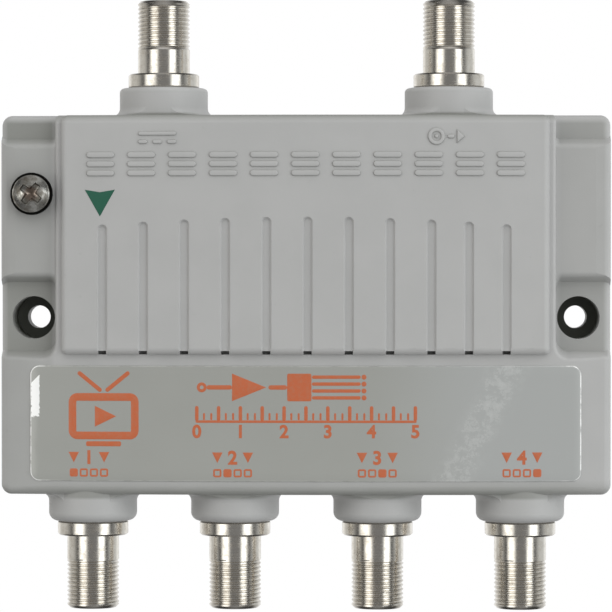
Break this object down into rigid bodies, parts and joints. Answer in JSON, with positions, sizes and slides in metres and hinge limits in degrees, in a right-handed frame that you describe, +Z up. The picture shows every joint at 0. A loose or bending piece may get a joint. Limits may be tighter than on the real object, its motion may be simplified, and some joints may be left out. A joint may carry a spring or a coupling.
{
  "type": "tv signal amplifier",
  "caption": "Flat die-cast cable television amplifier with an arched fluted front, threaded coaxial ports above and below, end lugs for wall screws and a ground screw.",
  "frame": {"origin": "on the rear face, midway between the two wall-screw holes", "axes": "+X to the viewer's right along the line of the wall-screw holes, +Y back into the wall, +Z up, along the axes of the two upper ports"},
  "size_m": [0.1116, 0.0211, 0.1114],
  "materials": {
    "housing_paint": "satin light grey paint over an aluminium casting",
    "cover_metal": "plain stamped sheet",
    "screw_steel": "zinc plate",
    "gasket_rubber": "matt black",
    "board_laminate": "green solder mask",
    "label_clear": "clear glossy film over the paint",
    "nickel": "bright nickel plate over brass",
    "insulator_plastic": "off-white moulding",
    "contact_brass": "bright",
    "tin_plate": "tin plate",
    "ferrite": "dull dark grey ferrite",
    "copper_wire": "enamelled copper",
    "arrestor_ceramic": "ceramic tube with metal caps",
    "can_aluminium": "bright can on a black base",
    "chip_black": "black moulding",
    "capacitor_ceramic": "tan ceramic with tinned ends"
  },
  "bodies": {
    "housing": {"amplifier_chip": "chip_black", "board_screws": "screw_steel", "ceramic_capacitors": "capacitor_ceramic", "chip_resistors": "chip_black", "circuit_board": "board_laminate", "core_windings": "copper_wire", "cover_gasket": "gasket_rubber", "cover_screws": "screw_steel", "electrolytic_capacitors": "can_aluminium", "filter_coils": "copper_wire", "housing": "housing_paint", "label_film": "label_clear", "output_1_contact": "contact_brass", "output_1_insulator": "insulator_plastic", "output_1_port": "nickel", "output_2_contact": "contact_brass", "output_2_insulator": "insulator_plastic", "output_2_port": "nickel", "output_3_contact": "contact_brass", "output_3_insulator": "insulator_plastic", "output_3_port": "nickel", "output_4_contact": "contact_brass", "output_4_insulator": "insulator_plastic", "output_4_port": "nickel", "power_choke": "ferrite", "power_input_contact": "contact_brass", "power_input_insulator": "insulator_plastic", "power_input_port": "nickel", "rear_cover": "cover_metal", "rf_input_contact": "contact_brass", "rf_input_insulator": "insulator_plastic", "rf_input_port": "nickel", "shield_wall": "tin_plate", "splitter_cores": "ferrite", "surge_arrestors": "arrestor_ceramic", "voltage_regulator": "chip_black"},
    "ground_washer": {"ground_washer": "screw_steel"},
    "ground_screw": {"ground_screw": "screw_steel"}
  },
  "joints": [
    {"name": "ground_screw_travel", "type": "slide", "parent": "housing", "child": "ground_washer", "axis": [0, -1, 0], "range_m": [0, 0.00317]},
    {"name": "ground_screw_turn", "type": "hinge", "parent": "ground_washer", "child": "ground_screw", "pos_m": [-0.0497, -0.0168, 0.0225], "axis": [0, -1, 0], "range_deg": [0, 1440]}
  ],
  "couplings": [
    {"joint": "ground_screw_turn", "follows": "ground_screw_travel", "rad_per_m": 7915.8}
  ]
}
